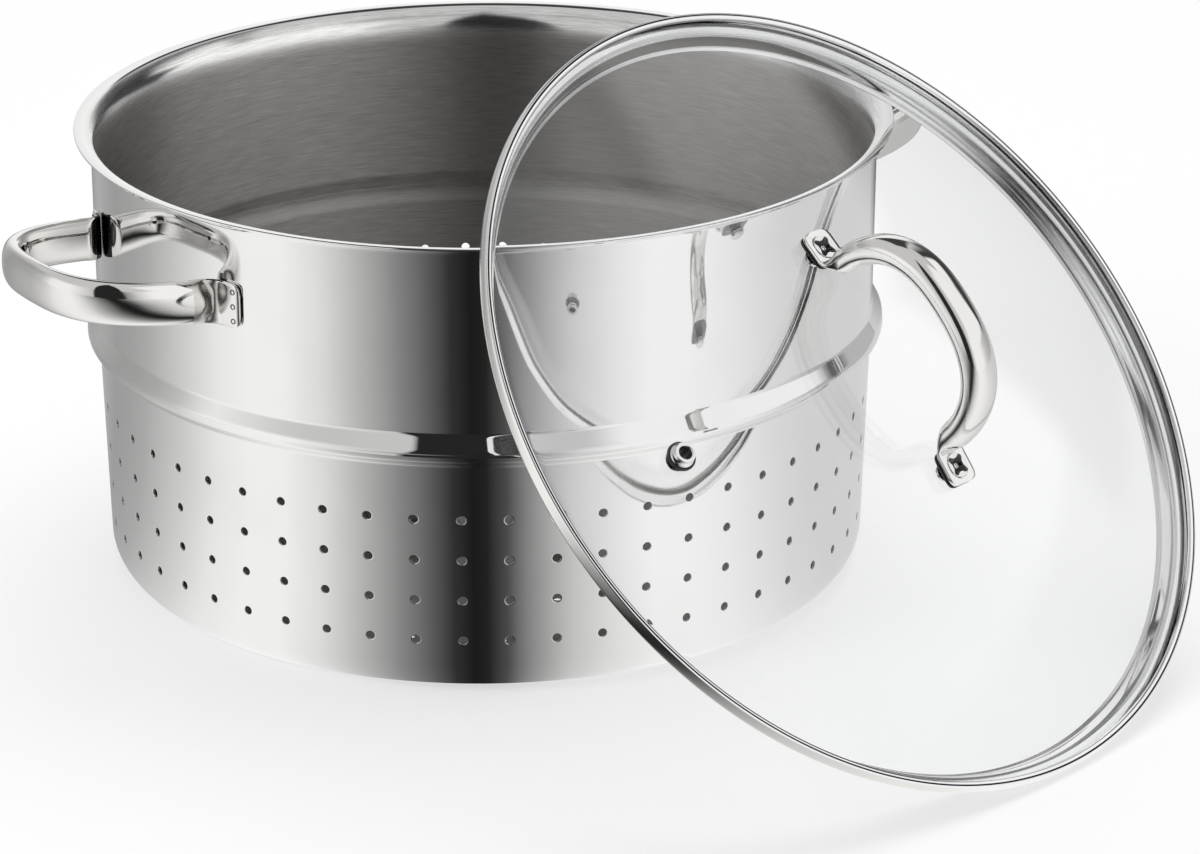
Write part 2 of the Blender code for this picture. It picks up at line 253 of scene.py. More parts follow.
outside_steel = polished("steel_mirror_outside", mirror_tone, 0.026, 0.030, 0.8, 0.0003)

# Inside, the brushing stops a little below the rim, which stays smoother.
inside_steel, nodes, shader = finish("steel_brushed_inside")
place = nodes.place()
lines = nodes.grouped(brushed, {"Place": place, "Fineness": 2300.0, "Softness": 0.55,
                                "Variation": 0.20})
marks = nodes.grouped(handled, {"Place": place, "Size": 0.4, "Smear": 0.02, "Shine": 0.0})
level = nodes.parts(place)[2]
unbrushed = nodes.ranged(level, *brush_end_levels)
# Painted shade: the inside's colour darkens towards the floor of the basket.
floor_shade = nodes.ranged(level, *floor_painted_shade_levels, floor_painted_shade, 1.0)
tone = nodes.times(nodes.times(lines["Tone"], marks["Tone"]), floor_shade)
rough = nodes.plus(lines["Roughness"], marks["Roughness"])
feed(shader, {"Metallic": 1.0, "Anisotropic": 0.96, "Anisotropic Rotation": 0.25,
              "Base Color": nodes.scaled(nodes.mixed(unbrushed, satin_tone, mirror_tone), tone),
              "Roughness": nodes.times(rough, nodes.times_plus(unbrushed, -rim_gloss, 1.0)),
              "Tangent": nodes.add("Tangent", direction_type="RADIAL", axis="Z"),
              "Normal": nodes.bump(lines["Height"], 0.12, 0.00005)})


def inner_side(line, thickness):
    # The other face of a sheet whose outer face is the given line.
    offsets = []
    for here, there in zip(line, line[1:]):
        way = Vector((there[0] - here[0], there[1] - here[1])).normalized()
        offsets.append(Vector((way.y, -way.x)))
    made = []
    for point, before, after in zip(line, offsets[:1] + offsets, offsets + offsets[-1:]):
        step = (before + after) * (thickness / (1 + before.dot(after)))
        made.append((point[0] + step.x, point[1] + step.y))
    return made


def circle(form, radius, level, count):
    return [form.verts.new((radius * cos(2 * pi * k / count), radius * sin(2 * pi * k / count),
                            level)) for k in range(count)]


def skin(form, rings):
    # Faces from each ring of points to the next.
    made = []
    for near, far in zip(rings, rings[1:]):
        for k in range(len(near)):
            j = (k + 1) % len(near)
            made.append(form.faces.new((near[k], near[j], far[j], far[k])))
    return made


def turned(form, line, parts, slots=None, closed=False):
    # A half section turned once about Z; slots gives a finish for each step.
    rings = [circle(form, radius, level, parts) if radius > 1e-7
             else [form.verts.new((0.0, 0.0, level))] * parts for radius, level in line]
    if closed:
        rings.append(rings[0])
    for count, (near, far) in enumerate(zip(rings, rings[1:])):
        for k in range(parts):
            j = (k + 1) % parts
            corners = list(dict.fromkeys((near[k], near[j], far[j], far[k])))
            if len(corners) > 2:
                form.faces.new(corners).material_index = slots[count] if slots else 0


def made_piece(name, form, finishes, sharp=40, where=None):
    # Merges, turns the faces outwards, and puts the place into the mesh.
    bmesh.ops.remove_doubles(form, verts=form.verts, dist=0.000008)
    bmesh.ops.recalc_face_normals(form, faces=form.faces)
    mesh = bpy.data.meshes.new(name)
    form.to_mesh(mesh)
    form.free()
    if where is not None:
        mesh.transform(where)
    for one in finishes:
        mesh.materials.append(one)
    smoothed(mesh, sharp)
    piece = bpy.data.objects.new(name, mesh)
    bpy.context.scene.collection.objects.link(piece)
    return piece


def smoothed(mesh, sharp):
    for face in mesh.polygons:
        face.use_smooth = True
    mesh.set_sharp_from_angle(angle=radians(sharp))


def geometry_tree(name, inputs):
    return group(name, "GeometryNodeTree", {"Geometry": "Geometry", **inputs},
                 {"Geometry": "Geometry"})


def joined(nodes, *geometries):
    made = nodes.add("JoinGeometry")
    for geometry in geometries:
        feed(made.node, {0: geometry})
    return made


def marked(nodes, geometry, mark, value=1.0):
    # Writes a mark on the faces, to tell them apart later.
    return nodes.add("StoreNamedAttribute", {"Geometry": geometry, "Name": mark, "Value": value},
                     data_type="FLOAT", domain="FACE")


def in_two_finishes(nodes, result, geometry, main_finish, mark, marked_finish):
    # Ends a tree: makes the instances real and gives marked faces their finish.
    real = nodes.add("RealizeInstances", {0: geometry})
    first = nodes.add("SetMaterial", {"Geometry": real, "Material": main_finish})
    value = nodes.add("InputNamedAttribute", {"Name": mark}, data_type="FLOAT")
    feed(result, {"Geometry": nodes.add("SetMaterial", {
        "Geometry": first, "Material": marked_finish,
        "Selection": nodes.maths("GREATER_THAN", value, 0.5)})})


def grown(name, mesh, nodes, sizes):
    # Runs a tree on a mesh with the given sizes, and returns a plain mesh.
    carrier = bpy.data.objects.new(name, mesh)
    bpy.context.scene.collection.objects.link(carrier)
    growth = carrier.modifiers.new(name, "NODES")
    growth.node_group = nodes.tree
    for item in nodes.tree.interface.items_tree:
        if item.in_out == "INPUT" and item.name in sizes:
            growth[item.identifier] = sizes[item.name]
    graph = bpy.context.evaluated_depsgraph_get()
    made = bpy.data.meshes.new_from_object(carrier.evaluated_get(graph))
    carrier.modifiers.clear()
    bpy.data.objects.remove(carrier)
    return made


# One punched hole in its square of sheet, laid flat: X runs round the wall, Y
# up it and Z out of it. The edge of the hole is rolled in by the punch.
square = 2 * pi * lower_wall((band_low + band_high) / 2) / holes_round
flat = bmesh.new()


def square_line(level):
    # Sixteen points round the square, one for each point of the hole.
    along = [max(-2, min(2, abs(k % 16 - 8) - 4)) for k in range(-4, 16)]
    return [flat.verts.new((along[k + 4] * square / 4, along[k] * row_pitch / 4, level))
            for k in range(16)]


skin(flat, [square_line(0.0), circle(flat, hole_radius + hole_roll, 0.0, 16),
            circle(flat, hole_radius, -roll_depth, 16), circle(flat, hole_radius, -sheet, 16),
            square_line(-sheet)])
flat_mesh = bpy.data.meshes.new("punched_square")
flat.to_mesh(flat_mesh)
flat.free()
empty_mesh = bpy.data.meshes.new("floor_of_holes")
for mesh in (flat_mesh, empty_mesh):
    mesh.materials.append(outside_steel)
    mesh.materials.append(inside_steel)

# The rows of holes: the square is set out in columns and rows, and the flat
# sheet of squares is then wrapped round the slightly tapered wall.
sizes = {
    "Columns": holes_round, "Rows": hole_rows, "Square width": square, "Row pitch": row_pitch,
    "Lowest row": lowest_row, "Foot radius": foot_radius, "Corner level": corner_radius,
    "Taper": taper, "Sheet": sheet, "Outside": outside_steel, "Inside": inside_steel}
nodes, given, result = geometry_tree("rows_of_holes", sizes)
start = nodes.vector(nodes.times(given["Square width"], 0.5), given["Lowest row"])
columns = nodes.add("MeshLine", {"Count": given["Columns"], "Start Location": start,
                                 "Offset": nodes.vector(given["Square width"])})
row = nodes.add("InstanceOnPoints", {"Points": columns, "Instance": given["Geometry"]})
rows = nodes.add("MeshLine", {"Count": given["Rows"],
                              "Offset": nodes.vector(0.0, given["Row pitch"])})
field = nodes.add("InstanceOnPoints", {"Points": rows, "Instance": row})
laid = nodes.add("RealizeInstances", {0: field})
x, y, z = nodes.parts(nodes.add("InputPosition"))
girth = nodes.times(given["Square width"], given["Columns"])
angle = nodes.maths("DIVIDE", nodes.times(x, 2 * pi), girth)
rise = nodes.minus(y, given["Corner level"])
reach = nodes.plus(nodes.times_plus(given["Taper"], rise, given["Foot radius"]), z)
wrapped = nodes.vector(nodes.times(reach, nodes.maths("COSINE", angle)),
                       nodes.times(reach, nodes.maths("SINE", angle)), y)
inner = nodes.maths("LESS_THAN", z, nodes.times(given["Sheet"], -0.3))
bent = nodes.add("SetPosition", {"Geometry": marked(nodes, laid, "inner", inner),
                                 "Position": wrapped})
whole = nodes.add("MergeByDistance", {"Geometry": bent, "Distance": 0.00001})
in_two_finishes(nodes, result, whole, given["Outside"], "inner", given["Inside"])
wall_of_holes = grown("wall_of_holes", flat_mesh, nodes, sizes)

# The floor of the basket inside its corner: a disc filled round three rings of
# holes, once for each face, and a short tube of sheet in each hole.
sizes = {
    "Edge radius": floor_edge, "Edge points": 4 * holes_round, "First ring": floor_ring,
    "Ring pitch": floor_ring_pitch, "Hole radius": hole_radius, "Sheet": sheet,
    "Holes in first ring": 9, "Holes in the others": 18, "Hole pitch": hole_pitch,
    "Outside": outside_steel, "Inside": inside_steel}
nodes, given, result = geometry_tree("rings_of_holes", sizes)
half_pitch = nodes.vector(0.0, 0.0, nodes.times(given["Hole pitch"], 0.5))
rings = []
for count in range(3):
    feeds = {"Vertices": given["Holes in the others" if count else "Holes in first ring"],
             "Radius": nodes.times_plus(given["Ring pitch"], count, given["First ring"])}
    ring = nodes.add("MeshCircle", feeds)
    rings.append(nodes.add("Transform", {"Geometry": ring, "Rotation": half_pitch}))
spots = joined(nodes, *rings)
edge = nodes.add("CurvePrimitiveCircle", {"Resolution": given["Edge points"],
                                          "Radius": given["Edge radius"]})
hole = nodes.add("CurvePrimitiveCircle", {"Resolution": 12, "Radius": given["Hole radius"]})
holes = nodes.add("InstanceOnPoints", {"Points": spots, "Instance": hole})
outline = nodes.add("RealizeInstances", {0: joined(nodes, edge, holes)})
under = nodes.add("FillCurve", {0: outline}, mode="TRIANGLES")
over = nodes.add("Transform", {"Geometry": under,
                               "Translation": nodes.vector(0.0, 0.0, given["Sheet"])})
tube = nodes.add("MeshCylinder", {"Vertices": 12, "Radius": given["Hole radius"],
                                  "Depth": given["Sheet"]}, fill_type="NONE")
half_sheet = nodes.vector(0.0, 0.0, nodes.times(given["Sheet"], 0.5))
tube = nodes.add("Transform", {"Geometry": tube, "Translation": half_sheet})
tubes = nodes.add("InstanceOnPoints", {"Points": spots, "Instance": tube})
disc = joined(nodes, under, marked(nodes, over, "inner"), tubes)
in_two_finishes(nodes, result, disc, given["Outside"], "inner", given["Inside"])
floor_of_holes = grown("floor_of_holes", empty_mesh, nodes, sizes)


def swell(share, start, end):
    # Rises from 0 to 1 on an even slope with a rounded start and end.
    full = 1 - (start + end) / 2
    if share < start:
        return share * share / (2 * start) / full
    if share > 1 - end:
        return 1 - (1 - share) ** 2 / (2 * end) / full
    return (share - start / 2) / full


# The drawn and rolled sheet above and below the rows of holes, from the edge
# of the rim down, and from the lowest row round the corner to the floor.
above = [(rim_radius - 0.0002, basket_height - sheet)]
for k in range(11):
    turn = pi / 2 + rim_rise + (pi / 2 - rim_rise) * k / 10
    above.append((wall_radius + rim_bend * (1 + cos(turn)), bend_level + rim_bend * sin(turn)))
above += [(wall_radius, level) for level in (
    0.1600, 0.1575, 0.1545, 0.1505, 0.1455, 0.1395, 0.1330, 0.1270, 0.1210, 0.1155, 0.1105,
    0.1065, 0.1030, 0.1000)]
for k in range(33):
    part = 1 - k / 16
    base = wall_radius - (below_bead if part < 0 else 0.0)
    if part > bead_crest:
        out = swell((1 - part) / (1 - bead_crest), 0.16, 0.34)
    else:
        out = swell((1 + part) / (1 + bead_crest), 0.34, 0.40)
    above.append((base + bead_depth * out, bead_height + part * bead_half))
above += [(lower_wall(level), level) for level in (0.0815, 0.0775, band_high)]
above_inner = inner_side(above + [(lower_wall(0.070), 0.070)], sheet)[:-1]
above_inner[-1] = (lower_wall(band_high) - sheet, band_high)
edge_level = above[0][1] + sheet / 2
edge = [(above[0][0] + sheet / 3.5 * cos(turn), edge_level + sheet / 2 * sin(turn))
        for turn in (radians(50), 0.0, radians(-50))]
rim_steps = [min(here[0], there[0]) > wall_radius + 0.0003 and here[1] > 0.16
             for here, there in zip(above_inner, above_inner[1:])]
slots = [0 if rim else 1 for rim in reversed(rim_steps)] + [0] * (len(edge) + len(above))
shell_form = bmesh.new()
turned(shell_form, above_inner[::-1] + edge + above, 4 * holes_round, slots)
below = [(lower_wall(band_low), band_low)]
for k in range(13):
    turn = k * pi / 24
    below.append((foot_radius - corner_radius * (1 - cos(turn)), corner_radius * (1 - sin(turn))))
below.append((floor_edge, 0.0))
below_inner = inner_side(below, sheet)
below_inner[0] = (lower_wall(band_low) - sheet, band_low)
turned(shell_form, below, 4 * holes_round)
turned(shell_form, below_inner, 4 * holes_round, [1] * len(below_inner))
shell_form.from_mesh(wall_of_holes)
shell_form.from_mesh(floor_of_holes)
shell = made_piece("basket_shell_finished", shell_form, [outside_steel, inside_steel], 28,
                   Matrix.Rotation(shell_turn, 4, "Z"))


def wall_lean(level, inside):
    # Outside the drawn wall waists a little above the bead and opens a little to
    # the rim. Inside it curves softly into the rim and on round its bend.
    if inside and level > bend_level:
        share = min(1.0, (level - bend_level) / (rim_bend + sheet))
        return -asin(share) - radians(inside_opens) * (1 - share)
    if inside:
        return -radians(inside_opens) * max(0.0, 1 - (bend_level - level) / inside_span) ** 2
    low = max(0.0, 1 - (level - bead_height - bead_half) / waist_span)
    high = max(0.0, 1 - (bend_level - level) / opens_span)
    return radians(wall_opens * high ** 2 - wall_waists * low ** 2)


def wall_normals(mesh):
    # The straight parts of the wall shine as true curves, also between the holes.
    normals = []
    for face in mesh.polygons:
        centre = face.center
        out = hypot(centre.x, centre.y)
        inward = face.normal.x * centre.x + face.normal.y * centre.y
        facing = 0
        upper = centre.z > bead_height
        slope = Vector((1.0, 0.0 if upper else -taper)).normalized()
        straight = corner_radius < centre.z < bead_height - bead_half
        if (straight or bead_height + bead_half < centre.z < bend_level) and out > wall_zone:
            lean = inward / out * slope.x + face.normal.z * slope.y
            facing = copysign(1, lean) if abs(lean) > square_on else 0
        elif centre.z > bend_level and face.normal.z > 0.02:
            facing = -1 if inward < -0.12 * out else 0
        for corner in face.loop_indices:
            point = mesh.vertices[mesh.loops[corner].vertex_index].co
            away = hypot(point.x, point.y) or 1.0
            if upper:
                lean = wall_lean(point.z, facing < 0)
                slope = Vector((cos(lean), sin(lean)))
            normals.append(Vector((slope.x * point.x / away, slope.x * point.y / away,
                                   slope.y)) * facing)
    mesh.normals_split_custom_set(normals)


wall_normals(shell.data)
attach(shell, "basket")
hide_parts("basket_shell")


# Side handles: stainless tube flattened to an oval and bent to a loop, its two
# ends pressed flat into tabs that lie on the wall under the rim, each held by
# three spot welds. Each neck is satin outside. Its inner side, in the pocket
# between tab and wall, is painted near black as painted shade.
gap = 0.0003
handle_heading = radians(-56.26)
loop_half_width = 0.0389
loop_reach = 0.1835
loop_squareness = 2.85
loop_drop = 0.0310
loop_rise = 0.1128
tube_tall = 0.0153
tube_thick = 0.0080
tab_tall = 0.0158
tab_thick = 0.0016
tab_round = 0.0020
tab_far = radians(20.6)
tab_near = radians(17.3)
tab_corner = 0.0034
nose_start = 0.0094
nose_length = 0.0062
crease_depth = 0.00035
crease_spot = 0.0150
crease_aside = 0.62
painted_shade_neck_span = (0.0066, 0.0132)
satin_neck = (0.0088, 0.0196)

handle_steel = polished("steel_polished_handle", (0.86, 0.85, 0.83), 0.055, 0.06, 1.6, 0.0005)
# Painted shade: the near-black finish on the inner side of each neck.
painted_shade_neck_steel = polished("steel_neck_painted_shade", (0.030, 0.028, 0.027), 0.22, 0.10, 3.0, 0.0003)
satin_neck_steel = polished("steel_pressed_neck", (0.80, 0.78, 0.745), 0.24, 0.10, 3.0, 0.0003)
tab_radius = wall_radius + gap + tab_thick / 2
loop_start = sqrt(wall_radius ** 2 - loop_half_width ** 2) - 0.004


def eased(start, start_way, end, end_way, parts):
    # Points strictly between two ends of a smooth bend.
    made = []
    for k in range(1, parts):
        t = k / parts
        u = 1 - t
        point = start * (u ** 3) + (start + start_way) * (3 * u * u * t)
        made.append(point + (end - end_way) * (3 * u * t * t) + end * (t ** 3))
    return made


def spaced(points, steps):
    # The same path with its points at the given distances from its start.
    made = []
    run = 0.0
    steps = list(steps)
    for here, there in zip(points, points[1:]):
        length = (there - here).length
        while steps and steps[0] <= run + length:
            made.append(here.lerp(there, (steps.pop(0) - run) / length))
        run += length
    made.append(points[-1])
    return made, run


def smooth(value):
    value = max(0.0, min(1.0, value))
    return value * value * (3 - 2 * value)


def rounded(value, squareness):
    return copysign(abs(value) ** (2 / squareness), value)


def pressed_tube(half, up_way, outward, section, inner_neck=(0.0, 0.0), outer_neck=(0.0, 0.0)):
    # A tube along a path and its mirror image; section gives the spot on the
    # tube for a distance from the pressed end and a turn about the path. The
    # inner and outer sides of the necks take the second and third finish.
    count = 40
    run = sum((b - a).length for a, b in zip(half, half[1:]))
    steps = [0.0, 0.0004]
    while steps[-1] < run - 0.0008:
        steps.append(steps[-1] + (0.0005 if steps[-1] < 0.028 else 0.0014))
    points, run = spaced(half, steps)
    distances = steps[:len(points) - 1] + [run]
    path = points + [Vector((p.x, -p.y, p.z)) for p in reversed(points[:-1])]
    distances += reversed(distances[:-1])
    form = bmesh.new()
    rings = []
    for k, point in enumerate(path):
        way = (path[min(k + 1, len(path) - 1)] - path[max(k - 1, 0)]).normalized()
        side = outward(way)
        ring = []
        for j in range(count):
            out, up = section(distances[k], 2 * pi * (j + 0.5) / count)
            ring.append(form.verts.new(point + side * out + up_way * up))
        rings.append(ring)
    for number, face in enumerate(skin(form, rings)):
        distance = distances[number // count]
        facing = cos(2 * pi * (number % count + 1) / count)
        # The inner side of the neck takes the painted shade finish, the outer side the satin one.
        if inner_neck[0] < distance < inner_neck[1] and facing < 0.35:
            face.material_index = 1
        elif outer_neck[0] < distance < outer_neck[1] and facing > -0.2:
            face.material_index = 2
    form.faces.new(rings[0])
    form.faces.new(rings[-1])
    return form


def end_rounding(distance, corner, least):
    # Narrows the flat end of a pressed tube, to round its corners.
    if distance >= corner:
        return 1.0
    return least + (1 - least) * (1 - (1 - distance / corner) ** 2.4) ** (1 / 2.4)


def side_section(distance, turn):
    # Flat tab, then the rounded nose of the tube, then the oval tube itself.
    across = rounded(sin(turn), 5.0)
    bow = 0.0052 * across ** 2 if cos(turn) > 0 else 0.0026
    nose = smooth((distance - nose_start - bow) / nose_length)
    squareness = 5.0 - 2.7 * nose
    across = rounded(sin(turn), squareness)
    half_out = tab_thick / 2 + (tube_thick - tab_thick) / 2 * nose
    half_up = tab_tall / 2 + (tube_tall - tab_tall) / 2 * nose
    half_up *= end_rounding(distance, tab_corner, 0.52)
    worn = 0.35 + 0.65 * sqrt(1 - (1 - min(1.0, distance / tab_round)) ** 2)
    out = half_out * (worn * rounded(cos(turn), squareness) - 0.8 * (1 - worn))
    if out > 0:
        crease = exp(-((abs(across) - crease_aside) / 0.13) ** 2)
        out -= crease_depth * crease * exp(-((distance - crease_spot) / 0.0030) ** 2)
    return out, half_up * across


half = []
for k in range(13):
    turn = tab_far + (tab_near - tab_far) * k / 12
    half.append(Vector((tab_radius * cos(turn), tab_radius * sin(turn), 0.0)))
loop = []
for k in range(120):
    turn = radians(83.0) * (1 - k / 119) ** 1.25
    loop.append(Vector((
        loop_start + (loop_reach - loop_start) * cos(turn) ** (2 / loop_squareness),
        loop_half_width * sin(turn) ** (2 / loop_squareness), 0.0)))
tab_way = Vector((sin(tab_near), -cos(tab_near), 0.0)) * 0.0026
half += eased(half[-1], tab_way, loop[0], Vector((0.0040, 0.0, 0.0)), 24) + loop
for point in half:
    point.z = basket_height - loop_drop + loop_rise * (point.x - loop_start)


def plan_side(way):
    return Vector((-way.y, way.x, 0.0)).normalized()


for name, heading in (("left_side_handle", handle_heading),
                      ("right_side_handle", handle_heading + pi)):
    form = pressed_tube(half, Vector((0.0, 0.0, 1.0)), plan_side, side_section, painted_shade_neck_span,
                        satin_neck)
    handle = made_piece(name + "_finished", form,
                        [handle_steel, painted_shade_neck_steel, satin_neck_steel], 50,
                        Matrix.Rotation(heading - pi / 2, 4, "Z"))
    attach(handle, "basket")
    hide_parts(name)


# Spot welds: the little round craters that the welding tips leave on each tab,
# three one above the other, each a bright dish in a raised lip burnt dark.
weld_radius = 0.00082
weld_pitch = 0.0052
weld_lip = 0.00022
weld_turn = radians(19.6)

weld_steel = polished("steel_spot_weld", (0.17, 0.155, 0.14), 0.22, 0.25, 6.0)

sizes = {"Crater radius": weld_radius, "Lip height": weld_lip, "Lip finish": weld_steel,
         "Dish finish": handle_steel}
nodes, given, result = geometry_tree("spot_welds", sizes)
lip = nodes.add("CurvePrimitiveCircle", {"Resolution": 20, "Radius": given["Crater radius"]})
wire = nodes.add("CurvePrimitiveCircle", {"Resolution": 6, "Radius": given["Lip height"]})
lip = nodes.add("CurveToMesh", {"Curve": lip, "Profile Curve": wire})
dish = nodes.add("MeshCone", {
    "Vertices": 20, "Radius Top": nodes.times(given["Crater radius"], 0.45),
    "Radius Bottom": given["Crater radius"], "Depth": nodes.times(given["Lip height"], 0.7)})
heading = nodes.add("InputNamedAttribute", {"Name": "outwards"}, data_type="FLOAT_VECTOR")
facing = nodes.add("AlignRotationToVector", {"Vector": heading}, axis="Z")
stamped = nodes.add("InstanceOnPoints", {
    "Points": given["Geometry"], "Rotation": facing,
    "Instance": joined(nodes, marked(nodes, lip, "lip"), dish)})
in_two_finishes(nodes, result, stamped, given["Dish finish"], "lip", given["Lip finish"])
spots = []
ways = []
weld_out = tab_radius + tab_thick / 2 + 0.00002
weld_level = basket_height - loop_drop
weld_level += loop_rise * (tab_radius * cos(weld_turn) - loop_start)
for heading in (handle_heading, handle_heading + pi):
    for side in (1, -1):
        turn = heading - pi / 2 + side * weld_turn
        way = Vector((cos(turn), sin(turn), 0.0))
        for step in (-1, 0, 1):
            spots.append(way * weld_out + Vector((0.0, 0.0, weld_level + step * weld_pitch)))
            ways.append(way)
spot_mesh = bpy.data.meshes.new("weld_spots")
spot_mesh.from_pydata([tuple(spot) for spot in spots], [], [])
attribute = spot_mesh.attributes.new("outwards", "FLOAT_VECTOR", "POINT")
for k, way in enumerate(ways):
    attribute.data[k].vector = way
weld_mesh = grown("spot_welds", spot_mesh, nodes, sizes)
form = bmesh.new()
form.from_mesh(weld_mesh)
welds = made_piece("spot_welds", form, list(weld_mesh.materials))
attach(welds, "basket")


# Lid glass: tempered glass pressed to a shallow dome, ground to a blunt round
# edge, with three drilled holes: two for the handle and one for the vent.
# The lid stands on its ring and leans on the rim of the basket.
lid_lean = radians(47.31099)
lid_heading = radians(45.35)
lid_spot = Vector((0.1248154, -0.1321553, 0.1102650))
lid_turn = radians(0.8)
dome_rise = 0.0196
dome_radius = 0.482
glass_thick = 0.0036
glass_edge_radius = 0.1451
edge_drop = 0.00535
edge_inner = 0.1434
edge_round = 0.0013
vent_distance = 0.0975
vent_barrel = 0.0029
foot_distance = 0.0427
handle_shift = 0.0012
rivet_radius = 0.0020

under_drop = dome_rise - glass_thick + edge_drop
under_radius = (edge_inner ** 2 + under_drop ** 2) / (2 * under_drop)
under_centre = dome_rise - glass_thick - under_radius


def dome_top(radius):
    return dome_rise - dome_radius + sqrt(dome_radius ** 2 - radius ** 2)


def dome_under(radius):
    return under_centre + sqrt(under_radius ** 2 - radius ** 2)


def placed(base, spot, *turns):
    # A place set off from another and turned there about the given axes.
    base = base @ Matrix.Translation(spot)
    for angle, axis in turns:
        base = base @ Matrix.Rotation(angle, 4, axis)
    return base


lid_place = placed(Matrix(), lid_spot, (lid_heading, "Z"), (lid_lean, "X"))
vent_spot = (-vent_distance * cos(lid_turn), -vent_distance * sin(lid_turn),
             dome_top(vent_distance))
vent_place = placed(lid_place, vent_spot, (lid_turn, "Z"),
                    (-asin(vent_distance / dome_radius), "Y"))
handle_place = placed(lid_place, (0.0, 0.0, dome_rise - dome_radius), (lid_turn, "Z"),
                      (-asin(handle_shift / dome_radius), "X"))


def foot_place(side):
    turn = foot_distance / dome_radius
    spot = (0.0, side * dome_radius * sin(turn), dome_radius * cos(turn))
    return placed(handle_place, spot, (-side * turn, "X"))


# Clear glass with faint dust and slight waves, which lets light through to the
# floor under it.
glass_finish, nodes, shader = finish("clear_lid_glass")
place = nodes.place()
feed(shader, {"Base Color": (0.985, 0.993, 0.990, 1.0), "Transmission Weight": 1.0, "IOR": 1.50,
              "Roughness": nodes.ranged(nodes.noise(place, 42.0, 4.0), 0.52, 0.80, 0.0, 0.05),
              "Normal": nodes.bump(nodes.noise(place, 14.0, 1.0), 0.06, 0.0004)})
through = nodes.add("BsdfTransparent", {0: (0.95, 0.965, 0.96, 1.0)})
shadow_ray = nodes.add("LightPath").node.outputs["Is Shadow Ray"]
either = nodes.add("MixShader", {0: shadow_ray, 1: shader.outputs[0], 2: through})
feed(nodes.tree.nodes["Material Output"], {"Surface": either})


def turned_piece(name, line, parts, finishes, where=None, sharp=40, slots=None, closed=True):
    form = bmesh.new()
    turned(form, line, parts, slots, closed)
    return made_piece(name, form, finishes, sharp, where)


ground = glass_edge_radius - edge_round
top = dome_top(ground)
foot = 0.0010 - edge_drop
line = [(0.0036 * k, dome_top(0.0036 * k)) for k in range(40)] + [(ground, top)]
for k in range(1, 8):
    turn = pi / 2 - pi * k / 8
    line.append((ground + edge_round * cos(turn), (top + foot) / 2 + (top - foot) / 2 * sin(turn)))
line.append((edge_inner, dome_under(edge_inner)))
line += [(0.0036 * k, dome_under(0.0036 * k)) for k in range(39, -1, -1)]
glass = turned_piece("lid_glass_finished", line, 180, [glass_finish], lid_place, closed=False)


def drilled(piece, tool_line, where):
    # Bores a turned shape out of a finished piece.
    tool = turned_piece("drill", tool_line, 32, [], where, closed=False)
    cut = piece.modifiers.new("drill", "BOOLEAN")
    cut.operation = "DIFFERENCE"
    cut.solver = "EXACT"
    cut.object = tool
    graph = bpy.context.evaluated_depsgraph_get()
    mesh = bpy.data.meshes.new_from_object(piece.evaluated_get(graph))
    piece.modifiers.clear()
    piece.data = mesh
    bpy.data.objects.remove(tool)
    smoothed(mesh, 40)


for radius, where in ((vent_barrel, vent_place), (rivet_radius, foot_place(1)),
                      (rivet_radius, foot_place(-1))):
    bore = [(0.0, 0.004), (radius + gap, 0.004), (radius + gap, -0.012), (0.0, -0.012)]
    drilled(glass, bore, where)
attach(glass, "lid")
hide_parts("lid_glass")


# Lid ring: thin stainless strip rolled round the edge of the glass, with a lip
# on top with a rolled groove in it, a skirt that sits inside the basket, and a
# turned-in hem. It is polished, with faint rolling lines, and its edge is satin.
# The floor of the groove is painted near black as painted shade.
ring_sheet = 0.0005
ring_outer = [(0.1430, -0.0013), (0.1433, -0.0004), (0.1439, -0.0001), (0.1453, -0.0001),
              (0.1460, -0.0008), (0.1461, -0.0034), (0.1454, -0.0049), (0.1442, -0.0063),
              (0.1400, -0.0067), (0.1386, -0.0096), (0.1378, -0.0121), (0.1363, -0.0129)]
ring_tone = (0.90, 0.90, 0.90)
ring_satin = (0.90, 0.885, 0.86)
groove_radius = 0.1448
groove_half = 0.00038
groove_depth = 0.00032
groove_painted_shade = 0.025

ring_steel, nodes, shader = finish("steel_rolled_ring")
place = nodes.add("Mapping", {"Vector": nodes.place(), "Location": lid_spot,
                              "Rotation": (lid_lean, 0.0, lid_heading)}, vector_type="TEXTURE")
lines = nodes.grouped(brushed, {"Place": place, "Fineness": 2600.0, "Softness": 0.06,
                                "Variation": 0.05})
marks = nodes.grouped(handled, {"Place": place, "Size": 1.5, "Smear": 0.05, "Shine": 0.0})
x, y, z = nodes.parts(place)
away = nodes.from_axis(x, y)
satin = nodes.times(nodes.ranged(away, 0.1449, 0.1453), nodes.ranged(z, -0.0006, -0.0011))
# Painted shade: the floor of the rolled groove is darkened to near black.
aside = nodes.maths("ABSOLUTE", nodes.minus(away, groove_radius))
groove_shade_mask = nodes.times(nodes.ranged(aside, 0.00018, groove_half, 1.0, 0.0),
                   nodes.ranged(z, -0.0016, -0.0012))
tone = nodes.mixed(groove_shade_mask, nodes.mixed(satin, ring_tone, ring_satin), groove_painted_shade)
rough = nodes.plus(lines["Roughness"], marks["Roughness"])
feed(shader, {"Metallic": 1.0, "Base Color": nodes.scaled(tone, marks["Tone"]),
              "Roughness": nodes.times_plus(satin, 0.15, rough),
              "Normal": nodes.bump(lines["Height"], 0.02, 0.00003)})


def curved(points, rounds):
    # A smooth line that cuts the corners of the given one.
    for _ in range(rounds):
        made = [points[0]]
        for here, there in zip(points, points[1:]):
            made += [(here[0] + (there[0] - here[0]) * share,
                      here[1] + (there[1] - here[1]) * share) for share in (0.25, 0.75)]
        points = made + [points[-1]]
    return points


